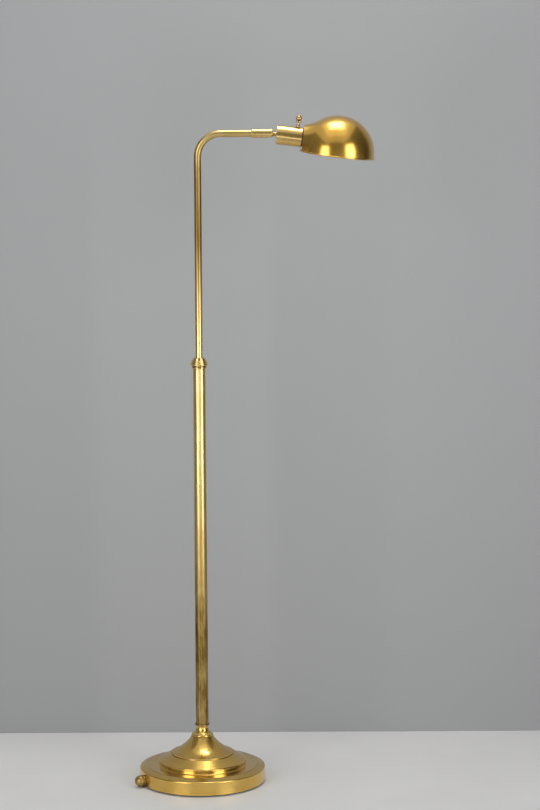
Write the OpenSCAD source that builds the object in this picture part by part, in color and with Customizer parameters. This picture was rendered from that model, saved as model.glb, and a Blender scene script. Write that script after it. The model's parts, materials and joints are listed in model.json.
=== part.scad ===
// Reading floor lamp in brass: a weighted, stepped base, a stem that telescopes, a bent arm,
// and a half-round shade on a slotted ball swivel.
// Millimetres, +Z up, the origin on the floor under the stem, the arm along +X.

/* [Overall] */
// Diameter of the base over its skirt
base_d = 254; // [212:1:306]
// Height of the arm's centre line above the floor
arm_z = 1310.6; // [1092:0.1:1580]
// Distance from the stem's centre line to the bare end of the arm
arm_reach = 106.2; // [88:0.1:128]
// Diameter of the shade's dome
shade_d = 146; // [121:1:176]

/* [Base] */
// Thickness of the felt under the base
felt_t = 3; // [2.5:0.5:5]
// How far the felt stands back from the skirt
felt_inset = 5; // [3:0.5:8]
// Wall of the spun cover
cover_t = 1.2; // [0.8:0.1:1.5]
// Height of the skirt
skirt_h = 27.5; // [24:0.5:34]
// Rounding of the skirt's upper corner
skirt_round = 2.5; // [1.5:0.5:4]
// Width of the sloping band inside the skirt
band_w = 14; // [10:0.5:16]
// Rise of the sloping band
band_rise = 4; // [3:0.5:6]
// Width of the turned groove inside the band
groove_w = 1.4; // [0.8:0.1:2]
// Depth of the turned groove
groove_d = 0.5; // [0.2:0.1:0.6]
// Diameter of the second step
riser_d = 176; // [160:1:182]
// Height of the second step
riser_h = 10.8; // [8:0.1:13]
// Rounding of the second step's upper edge
riser_round = 2; // [1:0.5:3]
// Fillet at the foot of the second step
riser_fillet = 2; // [1:0.5:3]
// Rise of the shoulder above the second step
shoulder_rise = 11.9; // [9:0.1:15]
// Diameter of the trumpet at its foot
foot_d = 125; // [112:1:140]
// Height of the small step at the trumpet's foot
foot_step = 2.5; // [1.5:0.5:4]
// Width of the ledge at the trumpet's foot
foot_ledge = 2.5; // [1.5:0.5:4]
// Diameter of the trumpet at its top
trumpet_d = 43.6; // [40:0.2:52]
// Rise of the trumpet
trumpet_rise = 33; // [28:0.5:40]
// Radius of the trumpet's hollow curve
trumpet_curve = 80; // [66:1:200]
// Height of the bead on top of the trumpet
bead_h = 4.5; // [3:0.1:6]
// How far the bead stands out from the trumpet's top
bead_out = 0.3; // [0.2:0.1:1.2]
// Height of the hollow neck above the bead
neck_h = 17; // [15:0.1:22]
// Radius of the hollow curve of the neck
neck_curve = 14; // [11:0.5:14.5]
// How much thinner than the stem the neck is, on the radius
neck_inset = 1.2; // [0.2:0.1:1.5]

/* [Base weight] */
// Thickness of the cast disc
weight_t = 16; // [10:0.5:18]
// Width of the rim that the disc stands on
weight_rim = 18; // [12:1:24]
// Gap between the weight and the skirt
weight_gap = 1.8; // [1:0.1:3]
// Drop of the weight's sloping edge below the cover
weight_edge = 3; // [2:0.5:5]
// Outside diameter of the threaded nipple
nipple_d = 10.2; // [9:0.1:12]
// Bore of the nipple
nipple_bore_d = 7; // [5:0.1:7.4]
// Diameter of the washer under the weight
washer_d = 32; // [26:1:40]
// Thickness of the washer under the weight
washer_t = 2; // [1:0.5:3]
// Size of the base nut across its corners
nut_d = 22; // [18:0.5:26]
// Height of the base nut
nut_h = 6; // [4:0.5:8]

/* [Cord elbow] */
// Direction of the elbow round the base, in degrees from the arm
elbow_turn = 203; // [185:1:225]
// Height of the elbow's centre above the skirt's lower edge
elbow_rise = 9.5; // [9.3:0.1:12]
// Diameter of the elbow's ball
elbow_d = 23; // [19.2:0.1:23.6]
// How far the ball's centre stands outside the skirt
elbow_stand = 8; // [6.7:0.1:9]
// How much smaller than the ball the elbow's seat on the skirt is, on the radius
elbow_seat_in = 0.4; // [0.2:0.1:1]
// Distance from the ball's centre to the flat that the cord leaves by
outlet_flat = 8; // [6.8:0.1:8.4]
// Diameter of the elbow's threaded shank
shank_d = 11; // [9.5:0.5:13]
// Length of the shank inside the skirt
shank_len = 7; // [6:0.5:10]
// Bore of the shank
shank_bore_d = 7; // [5:0.1:7.4]
// Size of the elbow's nut across its corners
elbow_nut_d = 18; // [16:0.5:18]
// Thickness of the elbow's nut
elbow_nut_t = 4; // [3:0.5:5]
// Hole for the cord through the bushing
cord_hole_d = 6.4; // [5.4:0.1:6.6]
// Wall of the cord bushing
bushing_wall = 1.2; // [0.8:0.1:1.3]
// Length of the cord bushing inside the elbow
bushing_len = 6; // [4.5:0.1:7]
// Thickness of the bushing's flange
bushing_flange_t = 1.5; // [1:0.1:2.5]
// How far the bushing's flange stands out
bushing_flange_w = 0.5; // [0.3:0.1:0.6]

/* [Stem] */
// Outside diameter of the lower tube
stem_d = 25.4; // [21:0.1:30.6]
// Wall of the lower tube
stem_t = 1.25; // [0.8:0.05:1.6]
// Length of the lower tube between the neck ring and the collar
stem_len = 727.2; // [605:0.1:873]
// Height of the neck ring under the lower tube
ring_t = 3.8; // [3:0.1:5]
// How far the neck ring stands out from the tube
ring_out = 2.3; // [1.5:0.1:4]
// Length of the neck ring's spigot
ring_spigot = 8; // [5:0.5:12]
// Length of the plug in the foot of the tube
plug_len = 30; // [24:1:40]
// How far the tube reaches up into the collar
collar_seat = 8.5; // [7:0.5:9]
// Width of the collar's foot outside the tube
collar_foot = 2.4; // [1.8:0.1:3.2]
// How far the collar's main bead stands out from the tube
collar_bead = 5; // [4.6:0.1:6.5]
// How far the collar's top stands out from the arm
collar_top = 4.8; // [3.6:0.1:5.2]
// Length of the friction bush inside the tube
friction_len = 30; // [20:1:40]
// Thickness of the friction bush's flange
friction_flange = 2.5; // [1.5:0.1:3]

/* [Arm] */
// Outside diameter of the arm tube
arm_d = 14.3; // [11.9:0.1:17.2]
// Wall of the arm tube
arm_t = 1.2; // [0.8:0.1:1.6]
// Centre-line radius of the bend
bend_r = 46; // [38:0.5:56]
// How far the arm can still be drawn up
rise_up = 60; // [20:1:100]
// Length of the guide sleeve on the arm's foot
guide_len = 30; // [20:1:45]
// Height of the rings above and below the guide sleeve
guide_ring = 4; // [3:0.5:6]
// Length of arm tube below the lower ring
arm_tail = 3; // [1:0.5:6]

/* [Swivel] */
// Wall of the swivel ring round the arm tube
swivel_wall = 1.75; // [1.4:0.05:2.5]
// Length of the swivel ring
swivel_ring_len = 11.4; // [10:0.1:14]
// Depth of the arm tube in the swivel ring
swivel_grip = 6.4; // [4:0.1:7]
// Chamfer on the swivel ring's arm side
swivel_chamfer = 1.6; // [0.8:0.1:2]
// Fine chamfer on the faces where the swivel turns
swivel_edge = 0.5; // [0.2:0.1:0.8]
// Length of the swivel housing
housing_len = 31.4; // [30:0.1:36]
// Wall of the swivel housing
housing_t = 1.85; // [1.4:0.05:2.2]
// Rounding of the housing's nose
nose_round = 3; // [1.5:0.1:3.5]
// Distance from the ball's centre to the housing's nose
ball_to_nose = 12.1; // [10:0.1:13]
// Diameter of the neck on the ball
ball_neck_d = 8; // [6.5:0.1:8.4]
// Length of the neck from the ball's centre to the socket sleeve
ball_neck_len = 18.9; // [17.6:0.1:23]
// Bore for the wires through the swivel
wire_d = 3.6; // [2:0.1:4]
// Thickness of the plug in the back of the housing
swivel_plug_t = 4; // [3:0.1:5]
// Diameter of the swivel screw
screw_d = 6; // [5:0.1:7]
// Diameter of the swivel screw's head
screw_head_d = 10; // [8.5:0.1:10.4]
// Height of the swivel screw's head
screw_head_t = 2.5; // [1.5:0.1:3]
// Thickness of the friction washer under the screw's head
friction_washer_t = 0.8; // [0.5:0.1:1.2]
// Length of the cup that presses on the ball
cup_len = 5; // [4.5:0.1:6]
// Number of conical spring washers behind the cup
spring_count = 4; // [2:1:5]
// Gauge of a spring washer
spring_gauge = 0.6; // [0.4:0.1:0.8]

/* [Head] */
// How far the head hangs below the arm's line, in degrees
head_tilt = 7.1; // [0:0.1:30]
// The steepest downward tilt that the slot allows, in degrees
tilt_down = 70; // [45:1:80]
// The slot's angle above the arm's line, in degrees
tilt_up = 1; // [0:1:10]
// Diameter of the bulb's screw cap
cap_d = 26.2; // [22:0.1:31.4]
// Wall of the lampholder's barrel
barrel_t = 1.7; // [1.2:0.1:2.5]
// Wall of the threaded contact shell
shell_t = 0.4; // [0.3:0.1:0.8]
// How far the lampholder's body stands out from its barrel
holder_shoulder = 3.1; // [2.4:0.1:5]
// Length of the lampholder's body behind the shade
holder_len = 21; // [18:0.5:26]
// Length of the lampholder's barrel in front of the shade's wall
barrel_len = 20; // [15:0.5:26]
// Length of the socket sleeve
sleeve_len = 49.6; // [46:0.1:60]
// Wall of the socket sleeve
sleeve_t = 0.9; // [0.6:0.1:1.4]
// Thickness of the socket sleeve's closed end
sleeve_back_t = 1.2; // [0.8:0.1:2]
// How far the sleeve's front lip stands proud
lip_out = 0.6; // [0.3:0.1:1]
// Length of the sleeve's front lip
lip_len = 2.6; // [1.5:0.1:4]
// Gap in front of the sleeve where the dark lampholder shows
sleeve_gap = 2.6; // [1:0.1:3]
// Distance from the knob's axis back from the sleeve's front
knob_back = 9.6; // [6:0.1:11]

/* [Shade] */
// Wall of the shade
shade_t = 1.1; // [0.8:0.1:1.6]
// Height of the straight skirt below the dome
shade_skirt = 5.5; // [4:0.1:8]
// Radius of the neck at the top of its face
shade_neck_r = 24; // [22:0.1:25]
// How far the neck's face lies inside the dome's edge
neck_face_in = 2.4; // [1:0.1:4]
// Radius of the long blend between neck and dome
neck_blend = 100; // [80:1:130]
// Height of the land between the rolled rim and the flat at the neck's face
flat_land = 0.4; // [0.2:0.1:1]
// How far the rim lies below the socket's line
rim_drop = 26.7; // [26:0.1:30]
// Radius of the rolled rim
rim_roll = 1.4; // [1:0.1:2]
// How far the rolled rim's centre stands outside the dome
rim_out = 1.6; // [0.8:0.1:1.8]
// Width of the ring that clamps the shade
clamp_w = 3.6; // [2.5:0.1:6]
// Thickness of the ring that clamps the shade
clamp_t = 4; // [3:0.5:6]

/* [Bulb] */
// Diameter of the bulb's glass
bulb_d = 46; // [40:0.5:48]
// Length of the bulb's cap, from its tip
cap_len = 25; // [22:0.5:28]
// Length of the bulb's glass beyond its cap
glass_len = 68; // [60:1:75]
// Wall of the bulb's glass
glass_t = 1; // [0.6:0.1:1.5]

/* [Knob] */
// Diameter of the knob's foot
knob_foot_d = 6.2; // [5.6:0.1:7.4]
// Height of the knob's foot
knob_foot_h = 2.4; // [1.5:0.1:3]
// Diameter of the cuff above the foot
knob_cuff_d = 8; // [7:0.1:9]
// Height of the cuff
knob_cuff_h = 1.5; // [1:0.1:2]
// Diameter of the knob's waist
knob_waist_d = 4.8; // [4.6:0.1:5.8]
// Height of the knob's waist
knob_waist_h = 4.4; // [3:0.1:6]
// Diameter of the flared ring under the ball
knob_ring_d = 12.6; // [11:0.1:15]
// Height of the flared ring
knob_ring_h = 4.4; // [3:0.1:6]
// Diameter of the knob's ball
knob_ball_d = 11.7; // [9.8:0.1:14]
// Height of the ball's centre above the flared ring
knob_ball_rise = 4.3; // [3.4:0.1:4.8]
// Diameter of the bead on the knob's tip
knob_tip_d = 5; // [3:0.1:6]
// Height of the bead's centre above the ball's centre
knob_tip_rise = 4.9; // [4:0.1:5.6]
// Diameter of the switch shaft
shaft_d = 4; // [3:0.1:4.4]

/* [Fits] */
// Radial gap of a fixed fit
fit_gap = 0.03; // [0.02:0.01:0.1]
// Radial gap of a turning or sliding fit
run_gap = 0.05; // [0.03:0.01:0.1]
// Gap between flat faces that turn against each other
face_gap = 0.2; // [0.1:0.05:0.4]
// Radial gap round a part that passes through freely
pass_gap = 0.3; // [0.2:0.05:0.6]

/* [Hidden] */
$fn = 96;
past = 1;
brass = [0.72, 0.56, 0.26];
dark_brass = [0.45, 0.34, 0.14];
iron = [0.25, 0.25, 0.27];
steel = [0.66, 0.67, 0.69];
felt = [0.07, 0.07, 0.07];
fibre = [0.32, 0.17, 0.1];
phenolic = [0.1, 0.08, 0.07];
milk_glass = [0.93, 0.92, 0.88];

// Base levels, from the floor up
base_r = base_d / 2;
skirt_z = felt_t;
skirt_top = skirt_z + skirt_h;
groove_r = base_r - band_w;
ledge_z = skirt_top + band_rise;
riser_r = riser_d / 2;
riser_top = ledge_z + riser_h;
shoulder_top = riser_top + shoulder_rise;
foot_r = foot_d / 2;
foot_z = shoulder_top + foot_step;
trumpet_r = trumpet_d / 2;
trumpet_top = foot_z + trumpet_rise;
bead_r = trumpet_r + bead_out;
bead_top = trumpet_top + bead_h;
stem_r = stem_d / 2;
stem_in_r = stem_r - stem_t;
neck_r = stem_r - neck_inset;
neck_top = bead_top + neck_h;
neck_in_r = neck_r - cover_t;

// Weight, nipple, washer and nut
nipple_r = nipple_d / 2;
weight_r = base_r - cover_t - weight_gap;
weight_top = ledge_z - cover_t;
weight_under = weight_top - weight_t;
weight_land_r = groove_r - groove_w;
washer_z = weight_under - washer_t;
nut_z = washer_z - nut_h;

// Stem
stem_z = neck_top + ring_t;
collar_z = stem_z + stem_len;
tube_top = collar_z + collar_seat;
friction_z = tube_top - friction_len;
nipple_top = stem_z + plug_len - past;

// Collar: heights of its turned members above its underside
collar_foot_h = 4.2;
collar_bead_z = 8.4;
collar_bead_round = 2.7;
collar_ring_z = [12, 14.7];
collar_ring_round = 1.6;
collar_cone_z = 15.4;
collar_h = 20.6;

// Arm
arm_r = arm_d / 2;
arm_in_r = arm_r - arm_t;
guide_stop_z = friction_z - rise_up - face_gap - guide_ring;
guide_z = guide_stop_z - face_gap - guide_len;
guide_clip_z = guide_z - face_gap - guide_ring;
arm_foot = guide_clip_z - arm_tail;

// Swivel, placed along the arm's line
swivel_r = arm_r + swivel_wall;
bore_r = swivel_r - housing_t;
housing_x = arm_reach + swivel_ring_len + face_gap;
ball_x = housing_x + housing_len - ball_to_nose;
ball_r = bore_r - run_gap;
ball_neck_r = ball_neck_d / 2;
slot_r = ball_neck_r + pass_gap;
slot_relief = 0.15;
screw_r = screw_d / 2;
screw_foot_x = arm_reach + swivel_grip + face_gap;
washer_x = housing_x + swivel_plug_t;
screw_head_x = washer_x + friction_washer_t + run_gap;
cup_bare = 0.55;
cup_front = ball_x - ball_r * cup_bare;
cup_x = cup_front - cup_len;
spring_r = screw_head_d / 2 + pass_gap;

// Head, placed along the socket's line from the ball's centre
cap_r = cap_d / 2;
shell_r = cap_r + face_gap;
barrel_in_r = shell_r + shell_t + fit_gap;
barrel_r = barrel_in_r + barrel_t;
holder_r = barrel_r + holder_shoulder;
sleeve_in_r = holder_r + fit_gap;
sleeve_r = sleeve_in_r + sleeve_t;
sleeve_u = ball_neck_len;
sleeve_front = sleeve_u + sleeve_len;
face_u = sleeve_front + sleeve_gap;
holder_u = face_u - holder_len;
barrel_floor = face_u + shade_t + past;
barrel_front = face_u + shade_t + barrel_len;
knob_u = sleeve_front - knob_back;
socket_nut_d = 16;
socket_nut_t = 4;
flange_t = 1.8;
flange_r = ball_neck_r + past;
contact_t = 0.8;
contact_r = 4;
cap_u = barrel_floor + contact_t + face_gap;
glass_u = cap_u + cap_len;

// Shade
dome_r = shade_d / 2;
shade_u = face_u + dome_r - neck_face_in;
rim_w = -rim_drop;
dome_w = rim_w + shade_skirt;
// The neck is turned about the line from the dome's centre to the middle of the neck's face
neck_lean = atan2(shade_u - face_u, -dome_w);
lip_along = norm([shade_u - face_u, dome_w]) + shade_neck_r / tan(neck_lean);
lip_far = norm([shade_neck_r, lip_along]);
// The blend's centre lies where its circle touches the dome and runs through the lip
blend_bite = 0.05;
blend_reach = dome_r + neck_blend - blend_bite;
blend_mid = (pow(blend_reach, 2) - pow(neck_blend, 2) + pow(lip_far, 2)) / (2 * lip_far);
blend_side = sqrt(pow(blend_reach, 2) - pow(blend_mid, 2));
blend_out = (blend_mid * shade_neck_r + blend_side * lip_along) / lip_far;
blend_along = (blend_mid * lip_along - blend_side * shade_neck_r) / lip_far;
flat_w = rim_w + 2 * rim_roll + flat_land;

// Elbow
elbow_z = skirt_z + elbow_rise;
elbow_r = elbow_d / 2;
elbow_out = base_r + elbow_stand;
cord_hole_r = cord_hole_d / 2;
bushing_r = cord_hole_r + bushing_wall;
elbow_seat_t = elbow_stand - bushing_r - bushing_flange_w - pass_gap;
shank_r = shank_d / 2;
skirt_in_r = base_r - cover_t;
shank_x = skirt_in_r - shank_len;
elbow_nut_r = elbow_nut_d / 2;
elbow_nut_x = sqrt(pow(skirt_in_r, 2) - pow(elbow_nut_r, 2)) - fit_gap - elbow_nut_t;

// Switch: heights of the knob's turned members above the socket's line
shaft_r = shaft_d / 2;
shaft_low = 6;
knob_w = sleeve_r + pass_gap;
knob_cuff_w = knob_w + knob_foot_h;
knob_waist_w = knob_cuff_w + knob_cuff_h;
knob_ring_w = knob_waist_w + knob_waist_h;
knob_ring_top = knob_ring_w + knob_ring_h;
knob_ring_edge = 1.2;
knob_ball_w = knob_ring_top + knob_ball_rise;
knob_tip_w = knob_ball_w + knob_tip_rise;

// Bulb: where its cone runs into its ball, in degrees below the ball's middle
bulb_swell = 20;

// Terminal screws
terminal_y = 9;
terminal_head_d = 6;
terminal_head_t = 2;
terminal_d = 3;
terminal_len = 6;

// Centre of the circle of radius r through p and q, on the left of the way from p to q
function arc_centre(p, q, r) =
    let (d = q - p, m = (p + q) / 2, h = sqrt(r * r - d * d / 4))
    m + [-d.y, d.x] / norm(d) * h;

// A plain tube standing on the XY plane
module tube(r, bore, h) {
    difference() {
        cylinder(r = r, h = h);
        translate([0, 0, -past]) cylinder(r = bore, h = h + 2 * past);
    }
}

// Children built along +Z lie along the arm, from the given distance
module along_arm(x) {
    translate([x, 0, arm_z]) rotate([0, 90, 0]) children();
}

// Children in the head's own frame: +X along the socket, +Z out of its top
module on_head() {
    translate([ball_x, 0, arm_z]) rotate([0, head_tilt, 0]) children();
}

// Children built along +Z lie along the socket, from the given distance
module along_head(u) {
    on_head() translate([u, 0, 0]) rotate([0, 90, 0]) children();
}

// Children in the elbow's frame: +X straight out of the skirt, -Y the way the cord leaves
module on_elbow() {
    rotate([0, 0, elbow_turn]) translate([0, 0, elbow_z]) children();
}

module base_felt() {
    color(felt) cylinder(r = base_r - felt_inset, h = felt_t);
}

module base_weight() {
    rim_top = skirt_top - cover_t - weight_edge;
    bore = nipple_r + face_gap;
    notch = elbow_nut_r + face_gap;
    color(iron) difference() {
        rotate_extrude() polygon([
            [bore, weight_under], [weight_r - weight_rim, weight_under],
            [weight_r - weight_rim, felt_t], [weight_r, felt_t], [weight_r, rim_top],
            [weight_land_r, weight_top], [bore, weight_top]
        ]);
        on_elbow() translate([weight_r - weight_rim - past, -notch, -elbow_z])
            cube([weight_rim + 2 * past, 2 * notch, elbow_z + notch]);
    }
}

// Half of the cover's outer outline, from the axis outwards
module cover_outline() {
    trumpet_mid = arc_centre([trumpet_r, trumpet_top], [foot_r, foot_z], trumpet_curve);
    shoulder_r = foot_r + foot_ledge;
    translate([0, skirt_z]) square([base_r, skirt_h - skirt_round]);
    translate([base_r - skirt_round, skirt_top - skirt_round]) circle(r = skirt_round);
    polygon([
        [0, skirt_z], [base_r - skirt_round, skirt_z], [base_r - skirt_round, skirt_top],
        [groove_r, ledge_z], [0, ledge_z]
    ]);
    translate([0, ledge_z]) square([riser_r, riser_h - riser_round]);
    translate([0, ledge_z]) square([riser_r - riser_round, riser_h]);
    translate([riser_r - riser_round, riser_top - riser_round]) circle(r = riser_round);
    difference() {
        translate([0, ledge_z]) square([riser_r + riser_fillet, riser_fillet]);
        translate([riser_r + riser_fillet, ledge_z + riser_fillet]) circle(r = riser_fillet);
    }
    polygon([
        [0, riser_top], [riser_r - riser_round, riser_top], [shoulder_r, shoulder_top],
        [0, shoulder_top]
    ]);
    translate([0, shoulder_top]) square([foot_r, foot_step]);
    difference() {
        polygon([[0, foot_z], [foot_r, foot_z], [trumpet_r, trumpet_top], [0, trumpet_top]]);
        translate(trumpet_mid) circle(r = trumpet_curve);
    }
    translate([0, trumpet_top]) square([bead_r - bead_h / 2, bead_h]);
    translate([bead_r - bead_h / 2, trumpet_top + bead_h / 2]) circle(r = bead_h / 2);
    difference() {
        translate([0, bead_top]) square([neck_r + neck_curve, neck_curve]);
        translate([neck_r + neck_curve, bead_top + neck_curve]) circle(r = neck_curve);
        translate([bead_r - bead_h / 2, bead_top - past]) square([neck_curve, neck_curve]);
    }
    translate([0, bead_top]) square([neck_r, neck_h]);
}

// Half of the hollow inside the cover
module cover_hollow() {
    trumpet_mid = arc_centre([trumpet_r, trumpet_top], [foot_r, foot_z], trumpet_curve);
    translate([0, skirt_z - past]) square([skirt_in_r, skirt_h - cover_t - skirt_round + past]);
    polygon([
        [0, skirt_z], [skirt_in_r, skirt_z], [skirt_in_r, skirt_top - cover_t - skirt_round],
        [groove_r, weight_top], [riser_r - cover_t, weight_top],
        [riser_r - cover_t, riser_top - cover_t - riser_round],
        [foot_r - cover_t, shoulder_top - cover_t], [0, shoulder_top - cover_t]
    ]);
    difference() {
        polygon([
            [0, shoulder_top - cover_t], [foot_r - cover_t, shoulder_top - cover_t],
            [foot_r - cover_t, foot_z - cover_t], [trumpet_r - cover_t, trumpet_top - cover_t],
            [neck_in_r, trumpet_top - cover_t], [neck_in_r, neck_top + past], [0, neck_top + past]
        ]);
        translate(trumpet_mid) circle(r = trumpet_curve + cover_t);
    }
}

module base_cover() {
    color(brass) difference() {
        rotate_extrude() difference() {
            cover_outline();
            cover_hollow();
            translate([groove_r - groove_w, ledge_z - groove_d]) square([groove_w, groove_d + past]);
        }
        on_elbow() translate([groove_r, 0, 0]) rotate([0, 90, 0])
            cylinder(r = shank_r + face_gap, h = band_w + past);
    }
}

module base_washer() {
    color(steel) translate([0, 0, washer_z]) tube(washer_d / 2, nipple_r + face_gap, washer_t);
}

module base_nut() {
    color(steel) translate([0, 0, nut_z]) difference() {
        cylinder(d = nut_d, h = nut_h, $fn = 6);
        translate([0, 0, -past]) cylinder(r = nipple_r + fit_gap, h = nut_h + 2 * past);
    }
}

module stem_nipple() {
    color(steel) translate([0, 0, nut_z - past])
        tube(nipple_r, nipple_bore_d / 2, nipple_top - nut_z + past);
}

module neck_ring() {
    bead = ring_t / 2;
    color(dark_brass) translate([0, 0, neck_top]) rotate_extrude() difference() {
        union() {
            square([stem_r + ring_out - bead, ring_t]);
            translate([stem_r + ring_out - bead, bead]) circle(r = bead);
            translate([0, -ring_spigot]) square([neck_in_r - fit_gap, ring_spigot]);
        }
        translate([0, -ring_spigot - past])
            square([nipple_r + fit_gap, ring_spigot + ring_t + 2 * past]);
    }
}

module stem_plug() {
    color(steel) translate([0, 0, stem_z]) tube(stem_in_r - fit_gap, nipple_r + fit_gap, plug_len);
}

module stem_tube() {
    color(brass) translate([0, 0, stem_z]) tube(stem_r, stem_in_r, tube_top - stem_z);
}

module stem_collar() {
    foot_edge = collar_foot_h / 2;
    bead_edge = stem_r + collar_bead;
    top_r = arm_r + collar_top;
    flange_top = collar_seat + friction_flange;
    ring_step = (bead_edge - collar_bead_round - top_r) / (len(collar_ring_z) + 1);
    color(brass) translate([0, 0, collar_z]) rotate_extrude() difference() {
        union() {
            square([stem_r + collar_foot - foot_edge, collar_bead_z]);
            translate([stem_r + collar_foot - foot_edge, foot_edge]) circle(r = foot_edge);
            translate([0, collar_bead_z - collar_bead_round])
                square([bead_edge - collar_bead_round, 2 * collar_bead_round]);
            translate([bead_edge - collar_bead_round, collar_bead_z]) circle(r = collar_bead_round);
            for (i = [0 : len(collar_ring_z) - 1])
                translate([bead_edge - collar_bead_round - ring_step * (i + 0.5), collar_ring_z[i]])
                    circle(r = collar_ring_round);
            polygon([
                [0, collar_bead_z], [bead_edge - collar_bead_round, collar_bead_z],
                [top_r + ring_step, collar_cone_z], [top_r, collar_h], [0, collar_h]
            ]);
        }
        translate([0, -past]) square([stem_r + fit_gap, flange_top + past]);
        translate([0, -past]) square([arm_r + pass_gap, collar_h + 2 * past]);
    }
}

module collar_bushing() {
    color(fibre) translate([0, 0, friction_z]) difference() {
        union() {
            cylinder(r = stem_in_r - fit_gap, h = friction_len);
            translate([0, 0, friction_len]) cylinder(r = stem_r, h = friction_flange);
        }
        translate([0, 0, -past])
            cylinder(r = arm_r + run_gap, h = friction_len + friction_flange + 2 * past);
    }
}

// Children built along +Z lie along the cord's way out, from the flat on the elbow
module at_outlet() {
    on_elbow() translate([elbow_out, -outlet_flat, 0]) rotate([90, 0, 0]) children();
}

module cord_elbow() {
    color(brass) difference() {
        union() {
            difference() {
                on_elbow() {
                    translate([elbow_out, 0, 0]) rotate([90, 0, 0]) rotate_extrude() intersection() {
                        circle(r = elbow_r);
                        translate([0, -elbow_r]) square([elbow_r, elbow_r + outlet_flat]);
                    }
                    translate([base_r - elbow_seat_t, 0, 0]) rotate([0, 90, 0])
                        cylinder(r = elbow_r - elbow_seat_in, h = 2 * elbow_seat_t);
                }
                cylinder(r = base_r + fit_gap, h = skirt_top);
            }
            on_elbow() translate([shank_x, 0, 0]) rotate([0, 90, 0])
                cylinder(r = shank_r, h = elbow_out - shank_x);
        }
        on_elbow() translate([shank_x - past, 0, 0]) rotate([0, 90, 0])
            cylinder(d = shank_bore_d, h = elbow_out - shank_x + past);
        at_outlet() translate([0, 0, -outlet_flat - cord_hole_r])
            cylinder(r = cord_hole_r, h = outlet_flat + cord_hole_r + past);
        at_outlet() translate([0, 0, -bushing_len])
            cylinder(r = bushing_r + fit_gap, h = bushing_len + past);
    }
}

module elbow_nut() {
    color(brass) on_elbow() translate([elbow_nut_x, 0, 0]) rotate([0, 90, 0]) difference() {
        cylinder(r = elbow_nut_r, h = elbow_nut_t, $fn = 6);
        translate([0, 0, -past]) cylinder(r = shank_r + fit_gap, h = elbow_nut_t + 2 * past);
    }
}

module cord_bushing() {
    color(phenolic) at_outlet() difference() {
        union() {
            translate([0, 0, -bushing_len]) cylinder(r = bushing_r, h = bushing_len);
            cylinder(r = bushing_r + bushing_flange_w, h = bushing_flange_t);
        }
        translate([0, 0, -bushing_len - past])
            cylinder(r = cord_hole_r, h = bushing_len + bushing_flange_t + 2 * past);
    }
}

module guide_sleeve() {
    color(fibre) translate([0, 0, guide_z]) tube(stem_in_r - run_gap, arm_r + run_gap, guide_len);
}

module guide_stop() {
    color(steel) translate([0, 0, guide_stop_z])
        tube(stem_in_r - pass_gap, arm_r + fit_gap, guide_ring);
}

module guide_clip() {
    color(steel) translate([0, 0, guide_clip_z])
        tube(stem_in_r - pass_gap, arm_r + fit_gap, guide_ring);
}

// The arm's run as a solid bar of the given radius
module arm_bar(r) {
    translate([0, 0, arm_foot]) cylinder(r = r, h = arm_z - bend_r - arm_foot);
    translate([bend_r, 0, arm_z - bend_r]) rotate([90, 0, 180]) rotate_extrude(angle = 90)
        translate([bend_r, 0]) circle(r = r);
    translate([bend_r, 0, arm_z]) rotate([0, 90, 0])
        cylinder(r = r, h = arm_reach + swivel_grip - bend_r);
}

module arm_tube() {
    color(brass) difference() {
        arm_bar(arm_r);
        arm_bar(arm_in_r);
    }
}

module swivel_ring() {
    color(brass) along_arm(arm_reach) rotate_extrude() difference() {
        polygon([
            [0, 0], [swivel_r - swivel_chamfer / 2, 0], [swivel_r, swivel_chamfer],
            [swivel_r, swivel_ring_len - swivel_edge],
            [swivel_r - swivel_edge, swivel_ring_len], [0, swivel_ring_len]
        ]);
        translate([0, -past]) square([arm_r + fit_gap, swivel_grip + past]);
        translate([0, -past]) square([screw_r + fit_gap, swivel_ring_len + 2 * past]);
    }
}

module swivel_screw() {
    shank = screw_head_x - screw_foot_x;
    color(steel) along_arm(screw_foot_x) difference() {
        union() {
            cylinder(r = screw_r, h = shank);
            translate([0, 0, shank]) cylinder(d = screw_head_d, h = screw_head_t);
        }
        translate([0, 0, -past]) cylinder(d = wire_d, h = shank + screw_head_t + 2 * past);
    }
}

// Half of the housing's outline, from its back to its nose
module housing_outline() {
    translate([0, swivel_edge]) square([swivel_r, housing_len - nose_round - swivel_edge]);
    square([swivel_r - nose_round, housing_len]);
    translate([swivel_r - nose_round, housing_len - nose_round]) circle(r = nose_round);
    polygon([
        [0, 0], [swivel_r - swivel_edge, 0], [swivel_r, swivel_edge], [0, swivel_edge]
    ]);
}

// The sweep of the ball's neck through the slot, seen from the ball's centre
module neck_sweep() {
    reach = ball_to_nose + swivel_r;
    for (angle = [-tilt_up, tilt_down])
        rotate([0, 90 + angle, 0]) cylinder(r = slot_r + slot_relief, h = reach);
    rotate([-90, 0, 0]) rotate([0, 0, -tilt_up]) translate([0, 0, -slot_r])
        rotate_extrude(angle = tilt_up + tilt_down) square([reach, 2 * slot_r]);
}

module swivel_housing() {
    color(brass) difference() {
        along_arm(housing_x) rotate_extrude() housing_outline();
        along_arm(housing_x - past) cylinder(r = bore_r, h = ball_x - housing_x + past);
        translate([ball_x, 0, arm_z]) sphere(r = bore_r);
        translate([ball_x, 0, arm_z]) neck_sweep();
    }
}

module swivel_plug() {
    color(steel) along_arm(housing_x) tube(bore_r - fit_gap, screw_r + run_gap, swivel_plug_t);
}

module friction_washer() {
    color(fibre) along_arm(washer_x)
        tube(screw_head_d / 2, screw_r + run_gap, friction_washer_t);
}

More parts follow.
